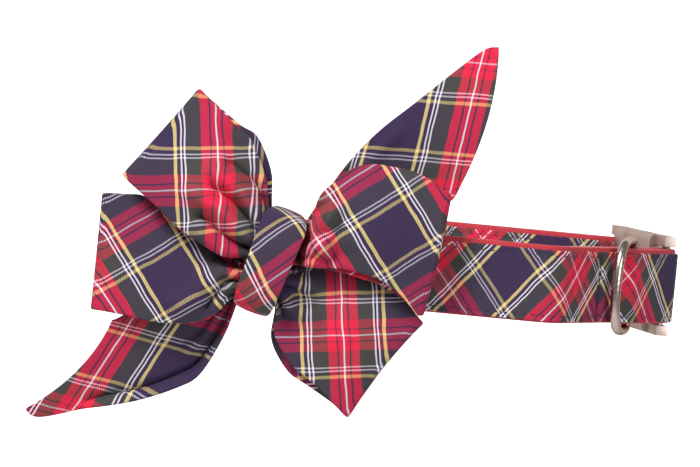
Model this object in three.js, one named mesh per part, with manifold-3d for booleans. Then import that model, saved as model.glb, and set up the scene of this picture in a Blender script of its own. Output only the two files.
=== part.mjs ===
// Pet bow tie collar: a fastened webbing collar faced with tartan, and a pinwheel bow.
// Units are millimetres, +Z is up, X runs to the wearer's left and -Y faces the viewer.
// The origin is the middle of the neck opening.

import * as THREE from 'three';
import { mergeVertices } from 'three/addons/utils/BufferGeometryUtils.js';
import Module from 'manifold-3d';

const wasm = await Module();
wasm.setup();

// Driving dimensions

const clearance = 0.3;

// How far joined solids run into each other, and how far cuts run past the faces they open.
const joinOverlap = 1;
const cutMargin = 1;

const webbing = { width: 25.4, thickness: 1.5 };
const facing = { width: 24, thickness: 0.8, drop: 0.3 };

// The collar's plan: a straight front, a round left end, a straight back and a stiff doubled end.
const plan = {
  frontY: -50.15,
  straightLeftX: -53,
  frontStraight: 97,
  depth: 104.6,
  leftCornerRadius: 40,
  leftCornerAngle: 60,
  bendRadius: 10,
  bendAngle: 53,
  doubledEnd: 61,
  returnLength: 56,
};

const buckle = {
  barToBar: 51.3,
  width: 34,
  thickness: 7.5,
  barRadius: 1.5,
  armWidth: 3.4,
  armThickness: 4,
  armPastNearBar: 4.2,
  armPastFarBar: 2,
  housingStart: 6.5,
  housingEnd: 33,
  tongueBase: 11,
  cavityHeight: 24,
  cavityDepth: 4.2,
  floorThickness: 3,
  tipGap: 1.3,
  windowStart: 17,
  windowEnd: 27,
  prongWidth: 4.5,
  guideWidth: 5,
  buttonProud: 1,
  cornerRadius: 2,
};

const ring = {
  wireRadius: 1.5,
  halfHeight: 15,
  reach: 17,
  barFromBuckleBar: 21,
  bulgeHalfLength: 3,
  standOff: 17,
};

const slide = {
  barRadius: 1.1,
  length: 15,
  frameHeight: 32,
  frameBar: 2.2,
  x: 7,
  endTurn: 8,
};

const bow = { x: -44, z: -0.5, depth: 20, cloth: 1.6, stripWidth: 38, foldAllowance: 2.4 };
const pleat = { count: 3, frontDepth: 1.7, backDepth: 1.0, start: 0.06, end: 0.55 };

const band = {
  lean: 16,
  halfHeight: 16.3,
  frontDepth: 23,
  thickness: 1.4,
  width: 13.8,
  backGap: 0.5,
};

// Numbers of facets
const facets = {
  layer: 12,
  across: 12,
  fold: 4,
  strapBend: 5,
  strapStep: 3,
  strapTurn: 10,
  bandRound: 36,
  ringRound: 48,
  wire: 8,
  bar: 16,
  housingCorner: 3,
};

// Each loop or tail leaves the bow's middle at an angle and reaches so far.
// Row columns, from the knot to the fold: along and side of edge A, of the middle line and of
// edge B, then the front layer's depth at A, middle and B, and the back layer's depth there.
// "along" is a share of reach, "side" a share of bow.stripWidth, depths are shares of bow.depth.
const frontDepthColumn = 6;
const backDepthColumn = 9;
const loops = {
  loop_upper_left: {
    angle: 135,
    reach: 54.5,
    peek: [-0.07, 0.02],
    rows: [
      [0.09, -0.20, 0.06, -0.11, 0.03, -0.02, 0.70, 0.78, 0.70, 0.40, 0.38, 0.38],
      [0.18, -0.22, 0.15, -0.07, 0.11, 0.09, 0.60, 0.85, 0.72, 0.38, 0.40, 0.45],
      [0.30, -0.33, 0.25, -0.05, 0.20, 0.24, 0.55, 0.93, 0.78, 0.35, 0.45, 0.55],
      [0.40, -0.42, 0.36, -0.06, 0.31, 0.31, 0.55, 1.00, 0.82, 0.35, 0.50, 0.62],
      [0.53, -0.49, 0.48, -0.08, 0.43, 0.36, 0.57, 1.02, 0.85, 0.38, 0.53, 0.65],
      [0.66, -0.54, 0.60, -0.08, 0.53, 0.40, 0.60, 1.00, 0.85, 0.40, 0.55, 0.68],
      [0.76, -0.52, 0.72, -0.06, 0.67, 0.42, 0.65, 0.95, 0.85, 0.45, 0.57, 0.68],
      [0.91, -0.51, 0.86, -0.03, 0.81, 0.45, 0.70, 0.85, 0.82, 0.50, 0.60, 0.65],
      [1.06, -0.49, 1.00, -0.01, 0.95, 0.48, 0.70, 0.75, 0.80, 0.53, 0.57, 0.62],
    ],
  },
  loop_lower_left: {
    angle: -178,
    reach: 56,
    peek: [0, 0.02],
    rows: [
      [0.02, 0.07, 0.03, 0.17, 0.05, 0.29, 0.60, 0.68, 0.60, 0.38, 0.38, 0.38],
      [0.13, 0.05, 0.13, 0.17, 0.14, 0.30, 0.50, 0.72, 0.60, 0.35, 0.38, 0.35],
      [0.26, -0.02, 0.24, 0.15, 0.23, 0.34, 0.38, 0.72, 0.60, 0.23, 0.33, 0.33],
      [0.38, -0.14, 0.32, 0.13, 0.28, 0.42, 0.38, 0.68, 0.57, 0.20, 0.30, 0.33],
      [0.50, -0.25, 0.43, 0.13, 0.36, 0.51, 0.40, 0.62, 0.55, 0.20, 0.28, 0.30],
      [0.63, -0.37, 0.56, 0.09, 0.49, 0.56, 0.42, 0.62, 0.55, 0.20, 0.28, 0.30],
      [0.78, -0.49, 0.73, 0.04, 0.67, 0.57, 0.45, 0.60, 0.55, 0.23, 0.28, 0.30],
      [0.88, -0.50, 0.86, 0.01, 0.84, 0.53, 0.45, 0.55, 0.53, 0.25, 0.28, 0.30],
      [0.99, -0.50, 1.00, 0.00, 1.02, 0.50, 0.42, 0.47, 0.47, 0.25, 0.28, 0.30],
    ],
  },
  loop_upper_right: {
    angle: 8,
    reach: 54,
    peek: [0, -0.02],
    rows: [
      [0.12, 0.25, 0.08, 0.13, 0.03, 0.01, 0.70, 0.78, 0.70, 0.40, 0.38, 0.38],
      [0.22, 0.26, 0.19, 0.12, 0.16, -0.02, 0.60, 0.85, 0.72, 0.38, 0.40, 0.45],
      [0.35, 0.56, 0.35, 0.25, 0.35, -0.06, 0.65, 0.95, 0.80, 0.38, 0.52, 0.60],
      [0.44, 0.66, 0.46, 0.30, 0.47, -0.08, 0.70, 1.05, 0.88, 0.40, 0.57, 0.66],
      [0.55, 0.76, 0.56, 0.33, 0.57, -0.12, 0.70, 1.07, 0.90, 0.42, 0.60, 0.68],
      [0.67, 0.79, 0.67, 0.32, 0.67, -0.17, 0.70, 1.05, 0.90, 0.45, 0.61, 0.68],
      [0.79, 0.76, 0.76, 0.27, 0.73, -0.23, 0.70, 1.00, 0.85, 0.47, 0.60, 0.65],
      [0.91, 0.72, 0.86, 0.20, 0.81, -0.33, 0.68, 0.90, 0.82, 0.47, 0.59, 0.66],
      [1.02, 0.64, 0.96, 0.08, 0.87, -0.44, 0.68, 0.80, 0.76, 0.50, 0.57, 0.61],
      [1.11, 0.53, 1.02, 0.03, 0.90, -0.51, 0.68, 0.74, 0.72, 0.50, 0.56, 0.56],
    ],
  },
  loop_lower_right: {
    angle: -38,
    reach: 51.5,
    peek: [0, -0.03],
    rows: [
      [0.05, -0.03, 0.10, -0.14, 0.15, -0.25, 0.60, 0.68, 0.60, 0.38, 0.38, 0.38],
      [0.17, 0.12, 0.20, -0.05, 0.24, -0.25, 0.42, 0.68, 0.60, 0.31, 0.38, 0.35],
      [0.25, 0.32, 0.29, -0.04, 0.33, -0.40, 0.34, 0.62, 0.60, 0.20, 0.30, 0.33],
      [0.35, 0.42, 0.39, -0.02, 0.42, -0.46, 0.35, 0.60, 0.60, 0.18, 0.27, 0.30],
      [0.47, 0.50, 0.53, 0.00, 0.59, -0.51, 0.37, 0.60, 0.60, 0.18, 0.27, 0.30],
      [0.58, 0.53, 0.64, 0.02, 0.72, -0.50, 0.42, 0.65, 0.60, 0.20, 0.28, 0.30],
      [0.68, 0.56, 0.77, 0.03, 0.85, -0.50, 0.45, 0.60, 0.57, 0.23, 0.28, 0.30],
      [0.82, 0.56, 0.89, 0.03, 0.96, -0.51, 0.45, 0.55, 0.53, 0.25, 0.28, 0.30],
      [0.97, 0.52, 0.98, 0.01, 1.04, -0.52, 0.45, 0.47, 0.47, 0.28, 0.30, 0.30],
    ],
  },
};

// Tails have one layer, so their rows hold one set of depths. The last row is the slanted cut.
const tails = {
  tail_upper: {
    angle: 39,
    reach: 80,
    rows: [
      [0.13, 0.13, 0.07, 0.06, 0.02, -0.01, 0.11, 0.11, 0.11],
      [0.19, 0.10, 0.15, -0.01, 0.11, -0.12, 0.11, 0.11, 0.11],
      [0.35, 0.23, 0.30, -0.01, 0.25, -0.26, 0.15, 0.12, 0.10],
      [0.50, 0.34, 0.44, -0.01, 0.38, -0.35, 0.20, 0.15, 0.10],
      [0.66, 0.41, 0.59, 0.00, 0.51, -0.41, 0.25, 0.20, 0.10],
      [0.84, 0.44, 0.73, 0.01, 0.62, -0.43, 0.30, 0.25, 0.12],
      [1.01, 0.47, 0.88, 0.02, 0.70, -0.44, 0.30, 0.30, 0.15],
      [1.19, 0.49, 1.01, 0.01, 0.74, -0.43, 0.25, 0.30, 0.15],
      [1.25, 0.44, 1.04, -0.04, 0.76, -0.42, 0.25, 0.30, 0.15],
    ],
  },
  tail_lower: {
    angle: -147,
    reach: 74.5,
    rows: [
      [0.04, 0.05, 0.08, 0.13, 0.12, 0.21, 0.11, 0.11, 0.11],
      [0.16, 0.02, 0.17, 0.08, 0.18, 0.12, 0.11, 0.11, 0.11],
      [0.25, -0.02, 0.28, 0.16, 0.31, 0.35, 0.11, 0.12, 0.10],
      [0.33, -0.05, 0.41, 0.26, 0.50, 0.58, 0.14, 0.08, 0.00],
      [0.44, -0.10, 0.53, 0.25, 0.62, 0.60, 0.16, 0.06, -0.08],
      [0.55, -0.14, 0.68, 0.20, 0.81, 0.54, 0.17, 0.05, -0.14],
      [0.63, -0.17, 0.81, 0.11, 1.03, 0.40, 0.18, 0.05, -0.18],
      [0.71, -0.17, 0.93, 0.09, 1.23, 0.28, 0.18, 0.05, -0.20],
      [0.73, -0.18, 0.97, 0.07, 1.27, 0.16, 0.18, 0.05, -0.20],
    ],
  },
};

// The knot band's ring, in the leaning plane. Row columns: height as a share of band.halfHeight,
// place between the strap's neck side (0) and the band's front (1), width as a share of band.width.
const bandRows = [
  [0.00, 1.00, 1.00],
  [0.45, 0.97, 0.95],
  [0.82, 0.84, 0.82],
  [0.98, 0.58, 0.74],
  [1.00, 0.30, 0.72],
  [0.99, 0.05, 0.72],
  [0.86, 0.00, 0.74],
  [0.00, 0.00, 0.80],
  [-0.86, 0.00, 0.78],
  [-0.99, 0.05, 0.78],
  [-1.00, 0.30, 0.80],
  [-0.98, 0.58, 0.84],
  [-0.82, 0.84, 0.94],
  [-0.45, 0.97, 1.00],
];

// The knot band's section, crowned outside: place across as a share of its half width, and level
// as a share of its thickness from the middle outwards.
const bandSection = [
  [-1, -0.5],
  [-0.5, -0.5],
  [0.5, -0.5],
  [1, -0.5],
  [1, 0.1],
  [0.6, 0.5],
  [-0.6, 0.5],
  [-1, 0.1],
];

// The ring's outline: reach as a share of ring.reach, height as a share of ring.halfHeight.
const ringRows = [
  [0.00, 0.00],
  [0.00, 0.50],
  [0.00, 0.84],
  [0.05, 0.97],
  [0.18, 1.00],
  [0.45, 1.00],
  [0.72, 0.92],
  [0.90, 0.66],
  [0.98, 0.33],
  [1.00, 0.00],
];

// Materials

const cloth = new THREE.Color(0x42334d);
const redWebbing = new THREE.Color(0xb3142b);
const nickel = new THREE.Color(0xc9beb6);

function fabricMaterial(color) {
  return new THREE.MeshStandardMaterial({ color, roughness: 0.85, metalness: 0 });
}

function nickelMaterial() {
  return new THREE.MeshStandardMaterial({ color: nickel, roughness: 0.25, metalness: 1 });
}

const collar = new THREE.Group();

function addPiece(name, geometry, material) {
  const mesh = new THREE.Mesh(geometry, material);
  mesh.name = name;
  collar.add(mesh);
  return mesh;
}

// Geometry helpers

function smoothstep(from, to, value) {
  const share = Math.min(Math.max((value - from) / (to - from), 0), 1);
  return share * share * (3 - 2 * share);
}

function meshFrom(points, triangles) {
  const position = new Float32Array(points.length * 3);
  points.forEach((point, index) => point.toArray(position, index * 3));
  let volume = 0;
  for (const [a, b, c] of triangles) {
    const cross = new THREE.Vector3().crossVectors(points[b], points[c]);
    volume += points[a].dot(cross);
  }
  const outward = volume > 0 ? triangles : triangles.map(([a, b, c]) => [a, c, b]);
  const geometry = new THREE.BufferGeometry();
  geometry.setAttribute('position', new THREE.BufferAttribute(position, 3));
  geometry.setIndex(outward.flat());
  geometry.computeVertexNormals();
  return geometry;
}

// A band of quads between two equally long rows of point numbers.
function quadStrip(first, second, closed) {
  const triangles = [];
  const count = closed ? first.length : first.length - 1;
  for (let i = 0; i < count; i += 1) {
    const next = (i + 1) % first.length;
    triangles.push([first[i], first[next], second[next]]);
    triangles.push([first[i], second[next], second[i]]);
  }
  return triangles;
}

// Joins closed outlines of equal length into a tube, closed on itself or capped at its ends.
function loft(outlines, closed) {
  const side = outlines[0].length;
  const points = outlines.flat();
  const row = (index) => Array.from({ length: side }, (_, k) => index * side + k);
  const triangles = [];
  const spans = closed ? outlines.length : outlines.length - 1;
  for (let i = 0; i < spans; i += 1) {
    triangles.push(...quadStrip(row(i), row((i + 1) % outlines.length), true));
  }
  if (!closed) {
    const first = row(0);
    const last = row(outlines.length - 1);
    for (let k = 1; k < side - 1; k += 1) {
      triangles.push([first[0], first[k + 1], first[k]]);
      triangles.push([last[0], last[k], last[k + 1]]);
    }
  }
  return meshFrom(points, triangles);
}

// A sheet of cloth with a thickness, from a grid of middle points.
function sheetSolid(grid, thickness) {
  const rows = grid.length;
  const columns = grid[0].length;
  const points = [];
  const normalAt = (i, j) => {
    const along = grid[Math.min(i + 1, rows - 1)][j].clone().sub(grid[Math.max(i - 1, 0)][j]);
    const across = grid[i][Math.min(j + 1, columns - 1)].clone().sub(grid[i][Math.max(j - 1, 0)]);
    return along.cross(across).normalize();
  };
  for (const side of [1, -1]) {
    for (let i = 0; i < rows; i += 1) {
      for (let j = 0; j < columns; j += 1) {
        points.push(grid[i][j].clone().addScaledVector(normalAt(i, j), (side * thickness) / 2));
      }
    }
  }
  const layer = rows * columns;
  const triangles = [];
  for (let i = 0; i < rows - 1; i += 1) {
    for (let j = 0; j < columns - 1; j += 1) {
      const corner = i * columns + j;
      const quad = [corner, corner + columns, corner + columns + 1, corner + 1];
      triangles.push([quad[0], quad[1], quad[2]], [quad[0], quad[2], quad[3]]);
      const under = quad.map((index) => index + layer);
      triangles.push([under[0], under[2], under[1]], [under[0], under[3], under[2]]);
    }
  }
  const rim = [];
  for (let j = 0; j < columns; j += 1) rim.push(j);
  for (let i = 1; i < rows; i += 1) rim.push(i * columns + columns - 1);
  for (let j = columns - 2; j >= 0; j -= 1) rim.push((rows - 1) * columns + j);
  for (let i = rows - 2; i > 0; i -= 1) rim.push(i * columns);
  triangles.push(...quadStrip(rim, rim.map((index) => index + layer), true));
  return meshFrom(points, triangles);
}

function toSolid(geometry) {
  const bare = geometry.clone();
  bare.deleteAttribute('normal');
  bare.deleteAttribute('uv');
  const merged = mergeVertices(bare, 1e-4);
  return new wasm.Manifold(new wasm.Mesh({
    numProp: 3,
    vertProperties: new Float32Array(merged.attributes.position.array),
    triVerts: new Uint32Array(merged.index.array),
  }));
}

function toGeometry(solid) {
  const mesh = solid.getMesh();
  const geometry = new THREE.BufferGeometry();
  geometry.setAttribute('position', new THREE.BufferAttribute(mesh.vertProperties, 3));
  geometry.setIndex(new THREE.BufferAttribute(mesh.triVerts, 1));
  geometry.computeVertexNormals();
  return geometry;
}

function boxSolid(low, high) {
  const size = high.map((value, axis) => value - low[axis]);
  const middle = high.map((value, axis) => (value + low[axis]) / 2);
  return toSolid(new THREE.BoxGeometry(...size).translate(...middle));
}

// A round bar along Z.
function barSolid(x, y, radius, height) {
  const bar = new THREE.CylinderGeometry(radius, radius, height, facets.bar);
  return toSolid(bar.rotateX(Math.PI / 2).translate(x, y, 0));
}

// The webbing's route in plan, as points with a heading in radians

function startAt(x, y, headingDegrees) {
  return [{ x, y, heading: THREE.MathUtils.degToRad(headingDegrees) }];
}

function goStraight(route, length) {
  const from = route[route.length - 1];
  route.push({
    x: from.x + Math.cos(from.heading) * length,
    y: from.y + Math.sin(from.heading) * length,
    heading: from.heading,
  });
}

// A turn to the left is positive.
function goRound(route, radius, degrees, steps) {
  const from = route[route.length - 1];
  const side = Math.sign(degrees);
  const centreX = from.x - Math.sin(from.heading) * radius * side;
  const centreY = from.y + Math.cos(from.heading) * radius * side;
  for (let i = 1; i <= steps; i += 1) {
    const heading = from.heading + THREE.MathUtils.degToRad(degrees * i / steps);
    route.push({
      x: centreX + Math.sin(heading) * radius * side,
      y: centreY - Math.cos(heading) * radius * side,
      heading,
    });
  }
}

// A sideways step of the strap made of two equal arcs. A step to the left is positive.
function goAside(route, shift, radius) {
  const turn = THREE.MathUtils.radToDeg(Math.acos(1 - Math.abs(shift) / (2 * radius)));
  goRound(route, radius, Math.sign(shift) * turn, facets.strapStep);
  goRound(route, radius, -Math.sign(shift) * turn, facets.strapStep);
}

function asideLength(shift, radius) {
  return 2 * radius * Math.sin(Math.acos(1 - Math.abs(shift) / (2 * radius)));
}

const stepRadius = 7;
const foldRadius = buckle.barRadius + clearance + webbing.thickness / 2;
const layerPitch = webbing.thickness + clearance;

// Round a bar the strap's two layers stand further apart than where they lie together.
const spread = 2 * foldRadius - layerPitch;
const spreadLength = asideLength(spread, stepRadius);

// From the front towards the buckle: bend, doubled end over the ring's bar, round the buckle's
// bar and back along the neck side.
function socketEndRoute() {
  const route = startAt(plan.straightLeftX, plan.frontY, 0);
  goStraight(route, plan.frontStraight);
  goRound(route, plan.bendRadius, plan.bendAngle, facets.strapBend);
  const raised = ring.barFromBuckleBar + ring.bulgeHalfLength;
  goStraight(route, plan.doubledEnd - raised - spreadLength);
  goAside(route, -spread, stepRadius);
  goStraight(route, raised);
  const barEnd = route[route.length - 1];
  goRound(route, foldRadius, 180, facets.strapTurn);
  goStraight(route, plan.returnLength);
  return { route, barEnd };
}

const { route: socketEnd, barEnd: socketBarEnd } = socketEndRoute();

function beside(point, offset) {
  return {
    x: point.x - Math.sin(point.heading) * offset,
    y: point.y + Math.cos(point.heading) * offset,
  };
}

const socketBar = beside(socketBarEnd, foldRadius);
const backY = plan.frontY + plan.depth;
const tongueBarY = backY - foldRadius;
const barRise = tongueBarY - socketBar.y;
const barRun = Math.sqrt(Math.max(buckle.barToBar ** 2 - barRise ** 2, 1));
const tongueBar = { x: socketBar.x - barRun, y: tongueBarY };
const buckleAngle = Math.atan2(barRise, -barRun);

// From the front round the hidden end, along the back to the buckle's far bar and back inside it
// to the slide, whose middle bar the end turns round.
const slideTurnRadius = slide.barRadius + 2 * clearance + facing.thickness + webbing.thickness / 2;

function tongueEndRoute() {
  const route = startAt(plan.straightLeftX, plan.frontY, 180);
  const corner = THREE.MathUtils.degToRad(plan.leftCornerAngle);
  const cornerDepth = plan.leftCornerRadius * (1 - Math.cos(corner));
  const endRadius = (plan.depth / 2 - cornerDepth) / Math.cos(corner);
  goRound(route, plan.leftCornerRadius, -plan.leftCornerAngle, facets.strapTurn);
  goRound(route, endRadius, 2 * plan.leftCornerAngle - 180, facets.strapTurn);
  goRound(route, plan.leftCornerRadius, -plan.leftCornerAngle, facets.strapTurn);
  goStraight(route, tongueBar.x - plan.straightLeftX);
  goRound(route, foldRadius, -180, facets.strapTurn);
  goStraight(route, tongueBar.x - slide.x - spreadLength - slide.length / 2);
  goAside(route, -spread, stepRadius);
  goStraight(route, slide.length / 2);
  goRound(route, slideTurnRadius, 180, facets.strapTurn);
  goStraight(route, slide.endTurn);
  return route;
}

function fullRoute() {
  const turned = socketEnd.slice().reverse();
  const flipped = turned.map(({ x, y, heading }) => ({ x, y, heading: heading + Math.PI }));
  return flipped.concat(tongueEndRoute().slice(1));
}

const strapRoute = fullRoute();

function ribbonGeometry(offset, thickness, width, middleZ) {
  const left = strapRoute.map((point) => beside(point, offset + thickness / 2));
  const right = strapRoute.map((point) => beside(point, offset - thickness / 2));
  const outlines = left.map((outer, index) => {
    const inner = right[index];
    const low = middleZ - width / 2;
    const high = middleZ + width / 2;
    return [
      new THREE.Vector3(outer.x, outer.y, low),
      new THREE.Vector3(inner.x, inner.y, low),
      new THREE.Vector3(inner.x, inner.y, high),
      new THREE.Vector3(outer.x, outer.y, high),
    ];
  });
  return loft(outlines, false);
}

const facingOffset = webbing.thickness / 2 + clearance + facing.thickness / 2;
const faceY = plan.frontY - facingOffset - facing.thickness / 2;

addPiece('webbing', ribbonGeometry(0, webbing.thickness, webbing.width, 0),
  fabricMaterial(redWebbing));
addPiece('tartan_facing',
  ribbonGeometry(facingOffset, facing.thickness, facing.width, -facing.drop),
  fabricMaterial(cloth));

// Bow

// A point of the bow: along and aside of the piece's own line, and its depth before the strap.
function bowPoint(angleDegrees, along, aside, depth) {
  const angle = THREE.MathUtils.degToRad(angleDegrees);
  return new THREE.Vector3(
    bow.x + along * Math.cos(angle) - aside * Math.sin(angle),
    faceY - depth,
    bow.z + along * Math.sin(angle) + aside * Math.cos(angle),
  );
}

// The three lines of one layer, from the knot outwards: edge A, the middle and edge B.
function layerLines(piece, run, depthColumn, peek) {
  return [0, 1, 2].map((line) => new THREE.CatmullRomCurve3(piece.rows.map((row, index) => {
    const share = index / (piece.rows.length - 1);
    const lift = Math.sin(Math.PI * share) ** 2 * (line === 0 ? peek[0] : line === 2 ? peek[1] : 0);
    const aside = (row[2 * line + 1] + lift) * bow.stripWidth;
    return bowPoint(piece.angle, row[2 * line] * run, aside, row[depthColumn + line] * bow.depth);
  })));
}

// The point at a share across three lines, on the parabola through them, pleated near the knot.
function acrossLines(lines, share, across, pleatDepth) {
  const [edgeA, middle, edgeB] = lines.map((line) => line.getPoint(share));
  const point = edgeA.multiplyScalar((1 - across) * (1 - 2 * across));
  point.addScaledVector(middle, 4 * across * (1 - across));
  point.addScaledVector(edgeB, across * (2 * across - 1));
  const fade = 1 - smoothstep(pleat.start, pleat.end, share);
  point.y -= pleatDepth * fade * Math.cos(2 * Math.PI * pleat.count * across);
  return point;
}

function steps(count) {
  return Array.from({ length: count + 1 }, (_, index) => index / count);
}

function loopGeometry(piece) {
  const run = piece.reach - bow.foldAllowance;
  const front = layerLines(piece, run, frontDepthColumn, [0, 0]);
  const back = layerLines(piece, run, backDepthColumn, piece.peek);
  const grid = [];
  for (const share of steps(facets.layer)) {
    grid.push(steps(facets.across).map((w) => acrossLines(front, share, w, pleat.frontDepth)));
  }
  const outward = bowPoint(piece.angle, 1, 0, 0).sub(bowPoint(piece.angle, 0, 0, 0));
  for (let i = 1; i < facets.fold; i += 1) {
    const turn = (Math.PI * i) / facets.fold;
    grid.push(steps(facets.across).map((w) => {
      const from = acrossLines(front, 1, w, 0);
      const to = acrossLines(back, 1, w, 0);
      const radius = from.distanceTo(to) / 2;
      const point = from.clone().add(to).multiplyScalar(0.5);
      point.addScaledVector(from.clone().sub(to), Math.cos(turn) / 2);
      return point.addScaledVector(outward, Math.sin(turn) * radius);
    }));
  }
  for (const share of steps(facets.layer).reverse()) {
    grid.push(steps(facets.across).map((w) => acrossLines(back, share, w, pleat.backDepth)));
  }
  return sheetSolid(grid, bow.cloth);
}

function tailGeometry(piece) {
  const lines = layerLines(piece, piece.reach, frontDepthColumn, [0, 0]);
  const grid = steps(facets.layer).map((share) => (
    steps(facets.across).map((w) => acrossLines(lines, share, w, 0))));
  return sheetSolid(grid, bow.cloth);
}

for (const [name, piece] of Object.entries(loops)) {
  addPiece(name, loopGeometry(piece), fabricMaterial(cloth));
}
for (const [name, piece] of Object.entries(tails)) {
  addPiece(name, tailGeometry(piece), fabricMaterial(cloth));
}

// The knot band goes round the loops' ends and the strap.
function bandGeometry() {
  const strapBack = facing.thickness + clearance + webbing.thickness;
  const backDepth = -(strapBack + band.backGap + band.thickness / 2);
  const middles = bandRows.map(([height, place]) => new THREE.Vector3(
    height * band.halfHeight,
    backDepth + place * (band.frontDepth - backDepth),
    0,
  ));
  const curve = new THREE.CatmullRomCurve3(middles, true);
  const widths = new THREE.CatmullRomCurve3(
    bandRows.map(([, , width]) => new THREE.Vector3(width * band.width, 0, 0)),
    true,
  );
  const outlines = [];
  for (const share of steps(facets.bandRound).slice(0, -1)) {
    const middle = curve.getPoint(share);
    const tangent = curve.getTangent(share);
    const out = new THREE.Vector3(-tangent.y, tangent.x, 0);
    const half = widths.getPoint(share).x / 2;
    const outline = [];
    for (const [side, level] of bandSection) {
      const at = middle.clone().addScaledVector(out, -level * band.thickness);
      outline.push(bowPoint(90 - band.lean, at.x, side * half, at.y));
    }
    outlines.push(outline);
  }
  return loft(outlines, true);
}

addPiece('knot_band', bandGeometry(), fabricMaterial(cloth));

// Ring

const ringBar = beside({
  x: socketBarEnd.x - Math.cos(socketBarEnd.heading) * ring.barFromBuckleBar,
  y: socketBarEnd.y - Math.sin(socketBarEnd.heading) * ring.barFromBuckleBar,
  heading: socketBarEnd.heading,
}, foldRadius);

function ringGeometry() {
  const upper = ringRows.map(([reach, height]) => (
    new THREE.Vector3(reach * ring.reach, 0, height * ring.halfHeight)));
  const lower = upper.slice(1, -1).reverse().map((p) => new THREE.Vector3(p.x, 0, -p.z));
  const curve = new THREE.CatmullRomCurve3(upper.concat(lower), true);
  const outlines = [];
  for (const share of steps(facets.ringRound).slice(0, -1)) {
    const middle = curve.getPoint(share);
    const tangent = curve.getTangent(share);
    const outward = new THREE.Vector3(-tangent.z, 0, tangent.x);
    const outline = [];
    for (let k = 0; k < facets.wire; k += 1) {
      const turn = (2 * Math.PI * (k + 0.5)) / facets.wire;
      const point = middle.clone();
      point.addScaledVector(outward, Math.cos(turn) * ring.wireRadius);
      point.y += Math.sin(turn) * ring.wireRadius;
      outline.push(point);
    }
    outlines.push(outline);
  }
  return loft(outlines, true);
}

const ringMesh = addPiece('d_ring', ringGeometry(), nickelMaterial());
ringMesh.position.set(ringBar.x, ringBar.y, 0);
ringMesh.rotation.z = socketBarEnd.heading + Math.PI + THREE.MathUtils.degToRad(ring.standOff);

// Buckle, along its own X from the near bar to the far bar

function housingBlock(start, end) {
  const shape = new THREE.Shape();
  const halfWidth = buckle.width / 2;
  const halfDepth = buckle.thickness / 2;
  const r = buckle.cornerRadius;
  shape.moveTo(-halfWidth + r, -halfDepth);
  shape.lineTo(halfWidth - r, -halfDepth);
  shape.absarc(halfWidth - r, -halfDepth + r, r, -Math.PI / 2, 0);
  shape.lineTo(halfWidth, halfDepth - r);
  shape.absarc(halfWidth - r, halfDepth - r, r, 0, Math.PI / 2);
  shape.lineTo(-halfWidth + r, halfDepth);
  shape.absarc(-halfWidth + r, halfDepth - r, r, Math.PI / 2, Math.PI);
  shape.lineTo(-halfWidth, -halfDepth + r);
  shape.absarc(-halfWidth + r, -halfDepth + r, r, Math.PI, 1.5 * Math.PI);
  const block = new THREE.ExtrudeGeometry(shape, {
    depth: end - start,
    bevelEnabled: false,
    curveSegments: facets.housingCorner,
  });
  block.applyMatrix4(new THREE.Matrix4().makeBasis(
    new THREE.Vector3(0, 0, 1), new THREE.Vector3(0, 1, 0), new THREE.Vector3(-1, 0, 0)));
  return toSolid(block.translate(end, 0, 0));
}

// The frame that holds a bar: two arms from past the bar to the body.
function barFrame(barX, bodyX, pastBar) {
  const half = buckle.width / 2;
  const low = Math.min(barX - pastBar, bodyX);
  const high = Math.max(barX + pastBar, bodyX);
  const depth = buckle.armThickness / 2;
  const upper = boxSolid([low, -depth, half - buckle.armWidth], [high, depth, half]);
  const lower = boxSolid([low, -depth, -half], [high, depth, -half + buckle.armWidth]);
  const bar = barSolid(barX, 0, buckle.barRadius, buckle.width - buckle.armWidth);
  return upper.add(lower).add(bar);
}

const cavityHalfHeight = buckle.cavityHeight / 2;
const cavityHalfDepth = buckle.cavityDepth / 2;
const cavityFloor = buckle.housingStart + buckle.floorThickness;

function socketGeometry() {
  const far = buckle.housingEnd + cutMargin;
  const half = buckle.width / 2 + cutMargin;
  const cavity = boxSolid([cavityFloor, -cavityHalfDepth, -cavityHalfHeight],
    [far, cavityHalfDepth, cavityHalfHeight]);
  const windows = boxSolid([buckle.windowStart, -cavityHalfDepth, -half],
    [buckle.windowEnd, cavityHalfDepth, half]);
  const body = housingBlock(buckle.housingStart, buckle.housingEnd);
  const frame = barFrame(0, buckle.housingStart + joinOverlap, buckle.armPastNearBar);
  return toGeometry(body.subtract(cavity).subtract(windows).add(frame));
}

function tongueGeometry() {
  const depth = cavityHalfDepth - clearance;
  const start = buckle.housingEnd + clearance;
  const end = start + buckle.tongueBase;
  const outer = cavityHalfHeight - clearance;
  const tip = cavityFloor + buckle.tipGap;
  const root = start + joinOverlap;
  const button = buckle.width / 2 - buckle.cornerRadius + buckle.buttonProud;
  const frame = barFrame(buckle.barToBar, end - joinOverlap, buckle.armPastFarBar);
  let solid = housingBlock(start, end).add(frame);
  for (const side of [1, -1]) {
    const zs = (a, b) => [Math.min(side * a, side * b), Math.max(side * a, side * b)];
    const [prongLow, prongHigh] = zs(outer - buckle.prongWidth, outer);
    solid = solid.add(boxSolid([tip, -depth, prongLow], [root, depth, prongHigh]));
    const [buttonLow, buttonHigh] = zs(outer - joinOverlap, button);
    solid = solid.add(boxSolid(
      [buckle.windowStart + clearance, -depth, buttonLow],
      [buckle.windowEnd - clearance, depth, buttonHigh],
    ));
  }
  const guide = buckle.guideWidth / 2;
  solid = solid.add(boxSolid([tip, -depth, -guide], [root, depth, guide]));
  return toGeometry(solid);
}

const buckleGroup = new THREE.Group();
buckleGroup.position.set(socketBar.x, socketBar.y, 0);
buckleGroup.rotation.z = buckleAngle;
collar.add(buckleGroup);
buckleGroup.add(addPiece('buckle_socket', socketGeometry(), nickelMaterial()));
buckleGroup.add(addPiece('buckle_tongue', tongueGeometry(), nickelMaterial()));

// Slide: end bars outside the strap, a middle bar inside it, and a rail at each edge

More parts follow.
